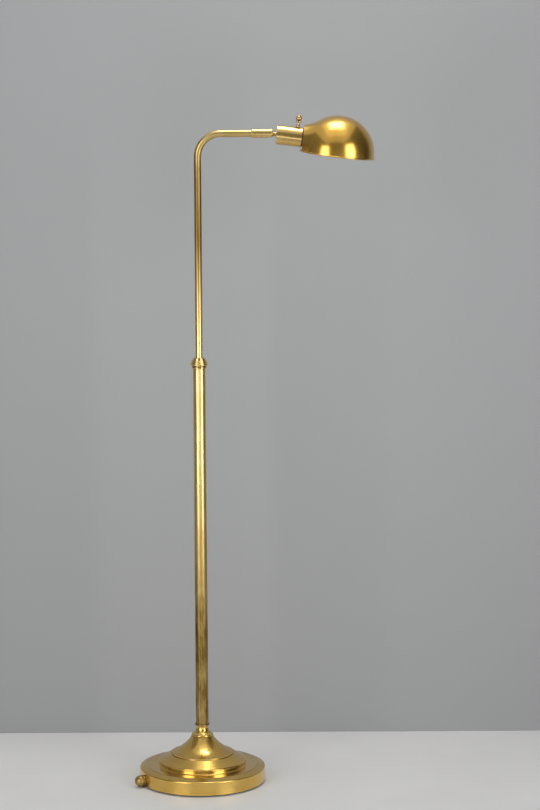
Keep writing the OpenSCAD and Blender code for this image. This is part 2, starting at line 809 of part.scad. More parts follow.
// Conical washers stacked face to back, drawn as one wavy ring
module ball_spring() {
    space = cup_x - washer_x - face_gap;
    pitch = (space - spring_gauge) / spring_count;
    width = (bore_r - pass_gap - spring_r) / 2;
    side = [for (i = [0 : spring_count]) [spring_r + (i % 2) * width, i * pitch]];
    back = [for (i = [spring_count : -1 : 0]) side[i] + [width, spring_gauge]];
    color(steel) along_arm(washer_x + face_gap / 2) rotate_extrude() polygon(concat(side, back));
}

module ball_cup() {
    color(fibre) difference() {
        along_arm(cup_x) tube(bore_r - run_gap, wire_d / 2, cup_len);
        translate([ball_x, 0, arm_z]) sphere(r = bore_r);
    }
}

module swivel_ball() {
    thread = sleeve_back_t + socket_nut_t + past;
    color(brass) difference() {
        union() {
            on_head() sphere(r = ball_r);
            along_head(0) cylinder(r = ball_neck_r, h = ball_neck_len + thread);
            along_head(ball_neck_len - flange_t) cylinder(r = flange_r, h = flange_t);
        }
        along_head(-ball_r - past)
            cylinder(d = wire_d, h = ball_r + ball_neck_len + thread + 2 * past);
    }
}

module socket_sleeve() {
    color(brass) difference() {
        along_head(sleeve_u) rotate_extrude() difference() {
            union() {
                square([sleeve_r, sleeve_len]);
                translate([0, sleeve_len - lip_len]) square([sleeve_r + lip_out, lip_len]);
            }
            translate([0, sleeve_back_t]) square([sleeve_in_r, sleeve_len]);
            translate([0, -past]) square([ball_neck_r + fit_gap, sleeve_len]);
        }
        on_head() translate([knob_u, 0, 0]) cylinder(r = shaft_r + pass_gap, h = 2 * sleeve_r);
    }
}

module socket_nut() {
    color(steel) along_head(sleeve_u + sleeve_back_t) difference() {
        cylinder(d = socket_nut_d, h = socket_nut_t, $fn = 6);
        translate([0, 0, -past]) cylinder(r = ball_neck_r + fit_gap, h = socket_nut_t + 2 * past);
    }
}

module socket_body() {
    hidden = sleeve_front - holder_u;
    color(phenolic) difference() {
        along_head(holder_u) rotate_extrude() difference() {
            union() {
                square([holder_r, hidden]);
                square([holder_r - past, face_u - holder_u]);
                square([barrel_r, barrel_front - holder_u]);
            }
            translate([0, barrel_floor - holder_u]) square([barrel_in_r, barrel_len]);
        }
        on_head() translate([knob_u, 0, shaft_low - past])
            cylinder(r = shaft_r + run_gap, h = sleeve_r);
        for (side = [-1, 1])
            on_head() translate([holder_u - past, side * terminal_y, 0]) rotate([0, 90, 0])
                cylinder(d = terminal_d + 2 * fit_gap, h = terminal_len + 2 * past);
    }
}

module screw_shell() {
    color(brass) along_head(barrel_floor + past)
        tube(shell_r + shell_t, shell_r, barrel_front - barrel_floor - past);
}

module centre_contact() {
    color(brass) along_head(barrel_floor) cylinder(r = contact_r, h = contact_t);
}

module terminal_screws() {
    color(steel) for (side = [-1, 1])
        on_head() translate([holder_u, side * terminal_y, 0]) rotate([0, 90, 0]) {
            translate([0, 0, -terminal_head_t]) cylinder(d = terminal_head_d, h = terminal_head_t);
            cylinder(d = terminal_d, h = terminal_len);
        }
}

// Half outline of the neck, from inside the dome out past the lip, shrunk by a wall
module neck_outline(wall) {
    difference() {
        square([blend_out * (dome_r - wall) / blend_reach, lip_along + past]);
        translate([blend_out, blend_along]) circle(r = neck_blend + wall);
    }
}

// The side neck, cut off at its face and above the rolled rim, shrunk by a wall
module side_neck(wall) {
    intersection() {
        translate([shade_u, 0, dome_w]) rotate([0, -neck_lean, 0]) rotate_extrude() neck_outline(wall);
        translate([face_u + wall, -dome_r, flat_w + wall]) cube([dome_r, shade_d, shade_d]);
    }
}

// The dome with its straight skirt, and the side neck blended into it, shrunk by a wall
module shade_form(wall) {
    dome = dome_r - wall;
    translate([shade_u, 0, dome_w]) rotate_extrude() intersection() {
        circle(r = dome);
        square([dome, dome]);
    }
    side_neck(wall);
    translate([shade_u, 0, rim_w - past]) cylinder(r = dome, h = shade_skirt + past);
}

// Room in front of the neck's face, deeper and lower by a wall
module neck_room(wall) {
    translate([face_u - dome_r, -dome_r, flat_w - wall]) cube([dome_r + wall, shade_d, shade_d]);
}

// The shade before it is hollowed: dome, neck and skirt down to the rim, and the rolled rim
module shade_blank() {
    intersection() {
        shade_form(0);
        translate([face_u - dome_r, -shade_d, rim_w]) cube([2 * shade_d, 2 * shade_d, shade_d]);
    }
    translate([shade_u, 0, rim_w + rim_roll]) rotate_extrude()
        translate([dome_r + rim_out - shade_t, 0]) circle(r = rim_roll);
}

module shade() {
    color(brass) on_head() difference() {
        shade_blank();
        difference() {
            shade_form(shade_t);
            neck_room(shade_t);
        }
        neck_room(0);
        translate([face_u - past, 0, 0]) rotate([0, 90, 0]) cylinder(r = barrel_r + face_gap, h = dome_r);
    }
}

module shade_ring() {
    color(brass) along_head(face_u + shade_t)
        tube(barrel_r + clamp_w, barrel_r + fit_gap, clamp_t);
}

module bulb_cap() {
    tip_r = contact_r;
    tip_h = 2;
    cone_h = 4;
    color(steel) along_head(cap_u) rotate_extrude() polygon([
        [0, 0], [tip_r, 0], [tip_r, tip_h], [cap_r, tip_h + cone_h], [cap_r, cap_len], [0, cap_len]
    ]);
}

// Half of the bulb's outline beyond its cap, shrunk by a wall
module bulb_outline(wall) {
    ball = bulb_d / 2;
    ball_at = glass_len - ball;
    throat = cap_r - past;
    intersection() {
        translate([0, ball_at]) circle(r = ball - wall);
        square([ball, glass_len]);
    }
    polygon([
        [0, 0], [throat - wall, 0],
        [ball * cos(bulb_swell) - wall, ball_at - ball * sin(bulb_swell)],
        [0, ball_at - ball * sin(bulb_swell)]
    ]);
}

module bulb_glass() {
    color(milk_glass) along_head(glass_u) rotate_extrude() difference() {
        bulb_outline(0);
        bulb_outline(glass_t);
    }
}

module switch_shaft() {
    color(steel) on_head() translate([knob_u, 0, shaft_low])
        cylinder(r = shaft_r, h = knob_w - shaft_low);
}

module switch_knob() {
    waist_r = knob_waist_d / 2;
    ring_r = knob_ring_d / 2;
    cuff_edge = knob_cuff_h / 2;
    color(brass) on_head() translate([knob_u, 0, 0]) rotate_extrude() {
        translate([0, knob_w]) square([knob_foot_d / 2, knob_foot_h]);
        translate([0, knob_cuff_w]) square([knob_cuff_d / 2 - cuff_edge, knob_cuff_h]);
        translate([knob_cuff_d / 2 - cuff_edge, knob_cuff_w + cuff_edge]) circle(r = cuff_edge);
        translate([0, knob_w]) square([waist_r, knob_ball_w - knob_w]);
        polygon([
            [0, knob_ring_w], [waist_r, knob_ring_w],
            [ring_r, knob_ring_top - 2 * knob_ring_edge],
            [ring_r, knob_ring_top - knob_ring_edge],
            [waist_r, knob_ring_top], [0, knob_ring_top]
        ]);
        intersection() {
            translate([0, knob_ball_w]) circle(d = knob_ball_d);
            translate([0, knob_w]) square([knob_ball_d, knob_tip_w - knob_w]);
        }
        intersection() {
            translate([0, knob_tip_w]) circle(d = knob_tip_d);
            translate([0, knob_ball_w]) square([knob_ball_d, knob_ball_d]);
        }
    }
}

base_felt();
base_weight();
base_cover();
base_washer();
base_nut();
stem_nipple();
neck_ring();
stem_plug();
stem_tube();
stem_collar();
collar_bushing();
cord_elbow();
elbow_nut();
cord_bushing();
guide_sleeve();
guide_stop();
guide_clip();
arm_tube();
swivel_ring();
swivel_screw();
swivel_housing();
swivel_plug();
friction_washer();
ball_spring();
ball_cup();
swivel_ball();
socket_sleeve();
socket_nut();
socket_body();
screw_shell();
centre_contact();
terminal_screws();
shade();
shade_ring();
bulb_cap();
bulb_glass();
switch_shaft();
switch_knob();
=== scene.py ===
# %% [markdown]
# # A brass reading lamp on a heavy foot
# The lamp is already built as a working model: a weighted foot, a stem, an arm that slides and swings in
# it, and a round shade on a ball joint. This lesson gives it its looks. The model comes in as a frame of
# named pieces that stay exactly where they are, so everything below is about surfaces, light and the one
# soft piece that a solid can't show well. Keeping the box of the untouched frame lets the last cell prove
# that nothing grew.

# %% Load the frame
import json
import math
import random

import bmesh
import bpy
from mathutils import Matrix, Vector, noise


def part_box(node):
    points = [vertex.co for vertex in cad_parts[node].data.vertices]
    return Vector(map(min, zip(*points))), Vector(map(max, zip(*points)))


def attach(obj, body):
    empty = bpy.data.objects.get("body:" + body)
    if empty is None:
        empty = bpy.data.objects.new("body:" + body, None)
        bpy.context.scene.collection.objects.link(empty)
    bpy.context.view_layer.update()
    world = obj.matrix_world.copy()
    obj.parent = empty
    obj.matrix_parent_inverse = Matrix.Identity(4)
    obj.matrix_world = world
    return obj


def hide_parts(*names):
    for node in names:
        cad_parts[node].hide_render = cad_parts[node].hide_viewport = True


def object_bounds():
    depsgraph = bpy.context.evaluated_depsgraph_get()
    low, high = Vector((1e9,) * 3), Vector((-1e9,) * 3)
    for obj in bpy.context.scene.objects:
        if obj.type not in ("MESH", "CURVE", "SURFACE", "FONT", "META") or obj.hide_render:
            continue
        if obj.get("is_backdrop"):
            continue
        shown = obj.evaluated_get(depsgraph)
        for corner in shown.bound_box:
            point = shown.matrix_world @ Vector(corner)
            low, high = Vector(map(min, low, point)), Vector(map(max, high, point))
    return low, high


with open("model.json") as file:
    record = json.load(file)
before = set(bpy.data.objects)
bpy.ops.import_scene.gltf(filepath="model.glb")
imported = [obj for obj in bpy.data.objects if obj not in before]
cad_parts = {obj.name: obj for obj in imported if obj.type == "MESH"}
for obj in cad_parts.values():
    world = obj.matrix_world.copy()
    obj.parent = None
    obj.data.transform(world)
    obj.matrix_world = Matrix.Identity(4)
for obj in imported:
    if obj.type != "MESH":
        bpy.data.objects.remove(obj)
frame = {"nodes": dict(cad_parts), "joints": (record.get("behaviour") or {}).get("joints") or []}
nodes = frame["nodes"]
cad_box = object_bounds()
scene = bpy.context.scene
print("pieces in the frame:", len(nodes))
print("frame box in metres:", [[round(x, 4) for x in corner] for corner in cad_box])

# %% [markdown]
# ## Where the photographer stood
# A tall thin lamp is photographed from far off with a long lens, so that its foot isn't seen from above
# while its head is seen from below. The eye stands 5.6 m away, a little above the lamp's head, and looks
# slightly down. Writing the lens in pixels of the finished picture and turning it into millimetres keeps
# the one number that was measured. The tiny roll is the photographer's tripod, not the lamp's.

# %% Camera
PICTURE_HEIGHT = 810
FOCAL_PIXELS = 2842.3
SENSOR_LONG_SIDE = 36.0
EYE = Vector((0.1405, -5.6, 1.64))
LOOK_DOWN = math.radians(8.827)
TRIPOD_ROLL = math.radians(-0.27)

lens = bpy.data.cameras.new("portrait")
lens.sensor_width = SENSOR_LONG_SIDE
lens.lens = FOCAL_PIXELS * SENSOR_LONG_SIDE / PICTURE_HEIGHT
camera = bpy.data.objects.new("portrait", lens)
aim = Matrix.Rotation(math.pi / 2 - LOOK_DOWN, 4, "X") @ Matrix.Rotation(TRIPOD_ROLL, 4, "Z")
camera.matrix_world = Matrix.Translation(EYE) @ aim
scene.collection.objects.link(camera)
scene.camera = camera
scene.view_settings.view_transform = "Standard"
print("lens in millimetres:", round(lens.lens, 1))

# %% [markdown]
# ## Helpers for every finish
# Each finish below is a small tree of nodes. Wiring nodes by hand takes three lines each: add, set, link.
# The first helper does all three, so that a tree reads like a recipe: the kind of node, what goes into its
# sockets, and its settings. A socket is filled with a number, a colour or another node's output. The others
# are short names for what comes up most: a new finish, a sum, a change of range, a mix of two colours and
# mottled noise of a stated size.

# %% Wiring nodes
NOISE_DETAIL = 4.0
SMOOTH_DETAIL = 1.0
NOISE_ROUGHNESS = 0.6


def wire(tree, kind, sockets=None, **settings):
    node = tree.nodes.new("ShaderNode" + kind)
    for key, value in settings.items():
        setattr(node, key, value)
    for key, value in (sockets or {}).items():
        if isinstance(value, bpy.types.NodeSocket):
            tree.links.new(value, node.inputs[key])
        else:
            node.inputs[key].default_value = value
    return node


def new_finish(name):
    material = bpy.data.materials.new(name)
    material.use_nodes = True
    tree = material.node_tree
    return material, tree, tree.nodes["Principled BSDF"]


def sums(tree, operation, first, second):
    node = wire(tree, "Math", {0: first, 1: second}, operation=operation)
    return node.outputs["Value"]


def spread(tree, value, low, high, to_low=0.0, to_high=1.0):
    ends = {"From Min": low, "From Max": high, "To Min": to_low, "To Max": to_high}
    return wire(tree, "MapRange", {"Value": value, **ends}).outputs["Result"]


def mixed(tree, share, first, second):
    node = wire(tree, "Mix", {0: share, 6: first, 7: second}, data_type="RGBA")
    return node.outputs[2]


def mottle(tree, point, size, detail=NOISE_DETAIL):
    sockets = {"Vector": point, "Scale": 1 / size, "Detail": detail, "Roughness": NOISE_ROUGHNESS}
    return wire(tree, "TexNoise", sockets).outputs["Fac"]


print("helpers ready: wire, new_finish, sums, spread, mixed, mottle")

# %% [markdown]
# ## A floor and a wall to stand against
# The lamp stands on a pale stone slab in front of a painted grey wall. Both are plain, so two flat meshes
# do. The paint and the stone still get a breath of unevenness, because a perfectly even plane looks like
# a hole in the picture. Both let a look from behind pass through: a see-through shader takes over on the
# back face, so the lamp can be walked round and looked at from below. The slab lies a hair under the felt,
# because two faces in one plane flicker, and it is a ring: the hole under the foot lets some light reach
# the felt's underside. It is polished where the lamp stands, so the foot's rim mirrors the lamps twice, and
# dull further out, where a shine would only glare. The wall is painted darker to the right, outside the
# picture, because the brass mirrors it and the shade's far side should fall off.

# %% Floor and wall
WALL_Y = 0.36
WALL_TOP = 1.75
STAGE_HALF = 16.0
FLOOR_DROP = -0.0003
FLOOR_HOLE = 0.112
FLOOR_STEPS = 96
STONE_TONES = ((0.78, 0.775, 0.76, 1), (0.88, 0.875, 0.86, 1))
STONE_PATCH = 0.25
STONE_SHINE = (0.42, 0.8)
STONE_SPECULAR = 0.35
POLISHED_SPOT = (0.16, 0.45)
PAINT_TONES = ((0.355, 0.36, 0.365, 1), (0.385, 0.39, 0.395, 1))
PAINT_PATCH = 0.9
PAINT_ROUGHNESS = 0.9
SHADOW_SIDE = (0.72, 1.3)
SHADOW_PAINT = (0.10, 0.10, 0.103, 1)


def flat_piece(name, corners, faces, material):
    mesh = bpy.data.meshes.new(name)
    mesh.from_pydata(corners, [], faces)
    mesh.materials.append(material)
    piece = bpy.data.objects.new(name, mesh)
    scene.collection.objects.link(piece)
    piece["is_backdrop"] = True


def see_through_back(tree, shader):
    back_face = wire(tree, "NewGeometry").outputs["Backfacing"]
    clear = wire(tree, "BsdfTransparent").outputs["BSDF"]
    sides = wire(tree, "MixShader", {0: back_face, 1: shader.outputs["BSDF"], 2: clear})
    tree.links.new(sides.outputs["Shader"], tree.nodes["Material Output"].inputs["Surface"])


def pale_stone():
    material, tree, shader = new_finish("pale_stone")
    point = wire(tree, "TexCoord").outputs["Object"]
    tone = mixed(tree, mottle(tree, point, STONE_PATCH), *STONE_TONES)
    tree.links.new(tone, shader.inputs["Base Color"])
    far_off = wire(tree, "VectorMath", {0: point}, operation="LENGTH").outputs["Value"]
    tree.links.new(spread(tree, far_off, *POLISHED_SPOT, *STONE_SHINE), shader.inputs["Roughness"])
    shader.inputs["Specular IOR Level"].default_value = STONE_SPECULAR
    see_through_back(tree, shader)
    return material


def grey_paint():
    material, tree, shader = new_finish("grey_paint")
    point = wire(tree, "TexCoord").outputs["Object"]
    evenly_lit = mixed(tree, mottle(tree, point, PAINT_PATCH), *PAINT_TONES)
    across = wire(tree, "SeparateXYZ", {"Vector": point}).outputs["X"]
    in_shadow = spread(tree, across, *SHADOW_SIDE)
    tree.links.new(mixed(tree, in_shadow, evenly_lit, SHADOW_PAINT), shader.inputs["Base Color"])
    shader.inputs["Roughness"].default_value = PAINT_ROUGHNESS
    see_through_back(tree, shader)
    return material


floor_turns = [2 * math.pi * i / FLOOR_STEPS for i in range(FLOOR_STEPS)]
floor_corners = [(reach * math.cos(a), reach * math.sin(a), FLOOR_DROP)
                 for a in floor_turns for reach in (FLOOR_HOLE, STAGE_HALF)]
count = len(floor_corners)
floor_faces = [(i, i + 1, (i + 3) % count, (i + 2) % count) for i in range(0, count, 2)]
flat_piece("floor", floor_corners, floor_faces, pale_stone())
wall_corners = [(-STAGE_HALF, WALL_Y, FLOOR_DROP), (STAGE_HALF, WALL_Y, FLOOR_DROP),
                (STAGE_HALF, WALL_Y, WALL_TOP), (-STAGE_HALF, WALL_Y, WALL_TOP)]
flat_piece("wall", wall_corners, [(0, 1, 2, 3)], grey_paint())
print("stage: a floor, and a wall", WALL_Y, "m behind the stem")

# %% [markdown]
# ## Light that brass can mirror
# Polished metal has hardly any colour of its own: it shows the room. Two tall soft boxes at the left and
# right of the camera draw the two bright lines down every tube, one overhead lays the pool of light on top
# of the shade, and two wide dim ones are the ceiling, brighter in its middle. A low one fills the shadows
# from the front. Area lamps show up in reflections as the panels they are. The two tall boxes have a grid
# on the front, which keeps their light off the floor at their feet: a narrower spread does that, and its
# gain is divided out so that the panel stays as bright as written. Between the panels the brass mirrors a
# dim grey room, which is what makes it look dark and deep. The room is dimmer still to the right, so the
# shade's far side falls into shadow.

# %% Soft boxes and room
LEFT_BRIGHTNESS = 4.4
RIGHT_BRIGHTNESS = 4.8
FILL_BRIGHTNESS = 1.7
TOP_BRIGHTNESS = 7.0
CEILING_BRIGHTNESS = 0.4
TALL_BOX = (0.95, 2.1)
TALL_BOX_HEIGHT = 1.16
GRID_SPREAD = math.radians(110)
OPEN_SPREAD = math.pi
DARK_SIDE = (0.5, 0.95)
ROOM_GREYS = (0.19, 0.08)


def soft_box(name, place, target, size, brightness, spread_angle=OPEN_SPREAD):
    lamp = bpy.data.lights.new(name, "AREA")
    lamp.shape = "RECTANGLE"
    lamp.size, lamp.size_y = size
    lamp.spread = spread_angle
    slope = math.tan(spread_angle / 2)
    gain = slope / (slope - spread_angle / 2)
    lamp.energy = brightness * math.pi * size[0] * size[1] / gain
    box = bpy.data.objects.new(name, lamp)
    box.location = place
    box.rotation_mode = "QUATERNION"
    box.rotation_quaternion = (Vector(target) - Vector(place)).to_track_quat("-Z", "Y")
    box.visible_camera = False
    scene.collection.objects.link(box)


def tall_box(name, x, y, brightness):
    soft_box(name, (x, y, TALL_BOX_HEIGHT), (0, 0, TALL_BOX_HEIGHT), TALL_BOX, brightness, GRID_SPREAD)


def hanging_box(name, place, size, brightness):
    soft_box(name, place, (place[0], place[1], 0), size, brightness)


tall_box("left_box", -1.22, -1.76, LEFT_BRIGHTNESS)
tall_box("right_box", 1.52, -1.5, RIGHT_BRIGHTNESS)
hanging_box("top_box", (0.24, 0.2, 2.75), (0.74, 0.74), TOP_BRIGHTNESS)
hanging_box("ceiling_middle", (0.2, -0.1, 2.85), (1.6, 1.9), CEILING_BRIGHTNESS)
hanging_box("ceiling", (0.0, -0.4, 2.9), (3.0, 3.8), CEILING_BRIGHTNESS)
soft_box("low_fill", (0.1, -3.0, 0.38), (0.1, 0, 0.6), (1.5, 0.55), FILL_BRIGHTNESS)

room = bpy.data.worlds.new("room")
room.use_nodes = True
room_tree = room.node_tree
looking = wire(room_tree, "TexCoord").outputs["Generated"]
to_right = wire(room_tree, "SeparateXYZ", {"Vector": looking}).outputs["X"]
room_grey = spread(room_tree, to_right, *DARK_SIDE, *ROOM_GREYS)
room_tree.links.new(room_grey, room_tree.nodes["Background"].inputs["Color"])
scene.world = room

# %% [markdown]
# ## The marks that tools leave
# Look closely at brass and you see how it was made. A piece turned on a lathe or spun over a former has
# fine rings round its own axis. A tube has fine lines along its length, from the die it was drawn through.
# Both are stretched noise: for rings the noise sees only how far a point is from the axis and along it,
# and for drawn lines the length is squeezed almost flat. So each needs a point measured from the piece's
# own axis, which a Mapping node of the Texture kind gives by undoing the piece's place and turn.

# %% Marks of the lathe and of the die
LATHE_PITCH = 0.0005
DRAW_PITCH = 0.0008
DRAW_STRETCH = 0.012
MARK_DETAIL = 3.0


def own_point(tree, origin=(0, 0, 0), axis=(0, 0, 1)):
    point = wire(tree, "TexCoord").outputs["Object"]
    turn = Vector((0, 0, 1)).rotation_difference(Vector(axis)).to_euler()
    sockets = {"Vector": point, "Location": origin, "Rotation": turn}
    return wire(tree, "Mapping", sockets, vector_type="TEXTURE").outputs["Vector"]


def axis_distance(tree, point):
    x, y, z = wire(tree, "SeparateXYZ", {"Vector": point}).outputs
    across = wire(tree, "CombineXYZ", {"X": x, "Y": y}).outputs["Vector"]
    return wire(tree, "VectorMath", {0: across}, operation="LENGTH").outputs["Value"], z


def lathe_marks(tree, point, pitch=LATHE_PITCH):
    radius, along = axis_distance(tree, point)
    ring = wire(tree, "CombineXYZ", {"X": radius, "Y": along}).outputs["Vector"]
    return mottle(tree, ring, pitch, MARK_DETAIL)


def die_marks(tree, point, pitch=DRAW_PITCH, squeeze=(1, 1, DRAW_STRETCH)):
    squeezed = wire(tree, "VectorMath", {0: point, 1: squeeze}, operation="MULTIPLY")
    return mottle(tree, squeezed.outputs["Vector"], pitch, MARK_DETAIL)


print("lathe rings every", LATHE_PITCH * 1000, "mm, drawn lines every", DRAW_PITCH * 1000, "mm")

# %% [markdown]
# ## Old polished brass
# The brass is real metal: a metallic shader whose colour is brass and whose brightness comes from the
# lamps. Age shows in layers. The alloy wanders between a deep and a bright tone, tarnish freckles it and
# gathers where a cloth can't reach, and whole stretches that nobody touches turn brown, in streaks that
# follow the tool marks because a cloth rubs along a piece or round it. Tarnish is duller than metal, so the
# same mask that browns it also roughens it and eats the thin lacquer whose sheen whitens the highlights.
# Slow waves in the surface bend the long highlights a little, as on any hand-finished piece, and the tool
# marks go on top of them. Sheet brass is richer in copper than tube, so the recipe takes its two tones from
# outside. Edges are where a cloth and a sleeve rub most: a Bevel node rounds the normal near an edge, and
# where that differs from the true normal, the metal is worn bright.

# %% Brass recipe
SHADE_BRASS = ((0.70, 0.39, 0.05, 1), (0.80, 0.48, 0.08, 1))
FOOT_BRASS = ((0.74, 0.45, 0.085, 1), (0.83, 0.54, 0.125, 1))
TUBE_BRASS = ((0.76, 0.51, 0.155, 1), (0.84, 0.60, 0.22, 1))
TARNISH_BROWN = (0.175, 0.1, 0.017, 1)
RUBBED_BRIGHT = (0.88, 0.68, 0.30, 1)
# Near-black for the deepest recesses and gaps: grime, and painted shade where little light reaches.
GRIME_AND_PAINTED_SHADE = (0.09, 0.06, 0.024, 1)
GRIME_AND_SHADE_POWER = 2.0
POLISH = 0.19
SMEAR_SWING = (-0.02, 0.025)
TARNISH_DULL = 0.16
LACQUER = (0.55, 0.05)
LACQUER_BEND = 1.6
LACQUER_ROUGHNESS = 0.12
TONE_PATCH, SMEAR_PATCH, WAVE_PATCH = 0.045, 0.02, 0.03
FRECKLE_SIZE, FRECKLE_DETAIL, FRECKLE_BAND = 0.004, 2.0, (0.64, 0.82)
CLUSTER_SIZE, CLUSTER_BAND, CLUSTER_SHARES = 0.03, (0.5, 0.7), (0.0, 0.1)
NOISE_BAND = (0.3, 0.7)
TONE_BAND = (0.35, 0.65)
RECESS_REACH, RECESS_BAND, RECESS_TARNISH = 0.004, (0.35, 0.8), 0.6
WEAR_PITCH, WEAR_SHARES = 0.003, (0.65, 1.15)
EDGE_ROUND = 0.0004
EDGE_WEAR_REACH, EDGE_WEAR_BAND = 0.0016, (0.93, 0.995)
EDGE_PATCH, EDGE_PATCH_BAND, EDGE_PATCH_SHARES = 0.008, (0.3, 0.6), (0.25, 1.0)
WAVE_HEIGHT = 0.00005
MARK_HEIGHT = 0.000006
ROUND_SAMPLES, MASK_SAMPLES = 4, 6


def recesses(tree):
    open_sky = wire(tree, "AmbientOcclusion", {"Distance": RECESS_REACH}, samples=MASK_SAMPLES)
    return spread(tree, open_sky.outputs["AO"], *RECESS_BAND, 1.0, 0.0)


def rubbed_edges(tree, point):
    rounded = wire(tree, "Bevel", {"Radius": EDGE_WEAR_REACH}, samples=MASK_SAMPLES).outputs["Normal"]
    true_normal = wire(tree, "NewGeometry").outputs["Normal"]
    agree = wire(tree, "VectorMath", {0: rounded, 1: true_normal}, operation="DOT_PRODUCT")
    worn = spread(tree, agree.outputs["Value"], *EDGE_WEAR_BAND, 1.0, 0.0)
    patchy = spread(tree, mottle(tree, point, EDGE_PATCH), *EDGE_PATCH_BAND, *EDGE_PATCH_SHARES)
    return sums(tree, "MULTIPLY", worn, patchy)


def all_tarnish(tree, point, marks, age, hidden, rubbed):
    freckles = spread(tree, mottle(tree, point, FRECKLE_SIZE, FRECKLE_DETAIL), *FRECKLE_BAND)
    clusters = spread(tree, mottle(tree, point, CLUSTER_SIZE), *CLUSTER_BAND, *CLUSTER_SHARES)
    tarnish = sums(tree, "MULTIPLY", freckles, clusters)
    tarnish = sums(tree, "ADD", tarnish, sums(tree, "MULTIPLY", hidden, RECESS_TARNISH))
    if age:
        uneven = spread(tree, marks(tree, point, WEAR_PITCH), *NOISE_BAND, *WEAR_SHARES)
        tarnish = sums(tree, "ADD", tarnish, sums(tree, "MULTIPLY", age(tree), uneven))
    tarnish = sums(tree, "MULTIPLY", tarnish, sums(tree, "SUBTRACT", 1.0, rubbed))
    return wire(tree, "Clamp", {"Value": tarnish}).outputs["Result"]


def brass(name, marks, point_of=own_point, age=None, polish=POLISH, tones=TUBE_BRASS):
    material, tree, shader = new_finish(name)
    point = point_of(tree)
    hidden = recesses(tree)
    rubbed = sums(tree, "MULTIPLY", rubbed_edges(tree, point), sums(tree, "SUBTRACT", 1.0, hidden))
    tarnish = all_tarnish(tree, point, marks, age, hidden, rubbed)
    tone = mixed(tree, spread(tree, mottle(tree, point, TONE_PATCH), *TONE_BAND), *tones)
    aged = mixed(tree, tarnish, mixed(tree, rubbed, tone, RUBBED_BRIGHT), TARNISH_BROWN)
    # Painted shade and grime: the ambient occlusion mask, squared, takes the deepest recesses and gaps
    # towards near-black.
    grimed_and_shaded = mixed(tree, sums(tree, "POWER", hidden, GRIME_AND_SHADE_POWER), aged, GRIME_AND_PAINTED_SHADE)
    tree.links.new(grimed_and_shaded, shader.inputs["Base Color"])
    polishes = [polish + swing for swing in SMEAR_SWING]
    smears = spread(tree, mottle(tree, point, SMEAR_PATCH), *NOISE_BAND, *polishes)
    dull = sums(tree, "ADD", smears, sums(tree, "MULTIPLY", tarnish, TARNISH_DULL))
    tree.links.new(dull, shader.inputs["Roughness"])
    edges = wire(tree, "Bevel", {"Radius": EDGE_ROUND}, samples=ROUND_SAMPLES).outputs["Normal"]
    swell = mottle(tree, point, WAVE_PATCH, SMOOTH_DETAIL)
    rolling = {"Height": swell, "Distance": WAVE_HEIGHT, "Normal": edges}
    waves = wire(tree, "Bump", rolling).outputs["Normal"]
    lines = {"Height": marks(tree, point), "Distance": MARK_HEIGHT, "Normal": waves}
    tree.links.new(wire(tree, "Bump", lines).outputs["Normal"], shader.inputs["Normal"])
    shader.inputs["Metallic"].default_value = 1.0
    tree.links.new(spread(tree, tarnish, 0.0, 1.0, *LACQUER), shader.inputs["Coat Weight"])
    shader.inputs["Coat IOR"].default_value = LACQUER_BEND
    shader.inputs["Coat Roughness"].default_value = LACQUER_ROUGHNESS
    return material


def dress(material, *names):
    for name in names:
        mesh = nodes[name].data
        mesh.materials.clear()
        mesh.materials.append(material)
    print(material.name, "on", ", ".join(names))


print("brass recipe ready, with worn edges and tarnish in recesses")

# %% [markdown]
# ## The head's own directions
# The shade, its socket and the switch knob are tilted, so their lathe rings must run round a tilted axis.
# The frame's joints know the tilt: the knob turns about the line that is up for the head. The socket runs
# across that line, and the dome's middle is as far from its far edge as its half width.

# %% Axes of the head
joints = {joint["name"]: joint for joint in frame["joints"]}
head_up = Vector(joints["switch_turn"]["axis"]).normalized()
head_along = Vector((0, 1, 0)).cross(head_up).normalized()
shade_points = [v.co for v in nodes["shade"].data.vertices]
half_width = max(p.y for p in shade_points)
far_edge = max(p.dot(head_along) for p in shade_points)
rim_level = min(p.dot(head_up) for p in shade_points)
shade_middle = head_along * (far_edge - half_width) + head_up * rim_level
print("head tilts down by", round(math.degrees(math.acos(head_up.z)), 2), "degrees")
print("shade's axis passes", [round(x, 4) for x in shade_middle])

# %% [markdown]
# ## Spun foot and shade
# The foot's cover and the shade are spun: a disc of sheet brass is pressed over a turning former until it
# takes its shape. Both show rings, one about the stem and one about the shade's own axis.

# %% Spun brass
def shade_point(tree):
    return own_point(tree, shade_middle, head_up)


spun_foot = brass("spun_brass_foot", lathe_marks, polish=0.21, tones=FOOT_BRASS)
spun_shade = brass("spun_brass_shade", lathe_marks, shade_point, polish=0.23, tones=SHADE_BRASS)
dress(spun_foot, "base_cover")
dress(spun_shade, "shade")

# %% [markdown]
# ## Drawn tubes that hands have polished
# The stem and the arm are drawn tubes. People take hold of them near the collar to set the height, and
# the arm stays bright there while its lacquer has gone brown towards its top. The stem is browner towards
# its foot. A smooth step on the height of the point gives both, and the recipe breaks the step up with its
# own noise. The stem's brown is in stains as long as a finger. The arm is rubbed again along its top and
# bend, and its lines change direction there: one set runs up, one runs along, and the bend blends them.

# %% Drawn brass
STEM_BRASS = ((0.78, 0.55, 0.18, 1), (0.86, 0.64, 0.255, 1))
STEM_BROWN_HEIGHTS = (0.62, 0.30)
ARM_AGES = (0.89, 1.11)
BEND_AGES = (1.31, 1.24)
STEM_BROWN_MOST = 0.97
ARM_AGE_MOST = 1.0
BEND_AGE_LEAST = 0.25
BEND_SPAN = (0.004, 0.03)
STAIN_PATCH = 0.016
STAIN_BAND = (0.36, 0.64)
STAIN_SHARES = (0.6, 1.2)
STAIN_STRETCH = (1, 1, 0.3)
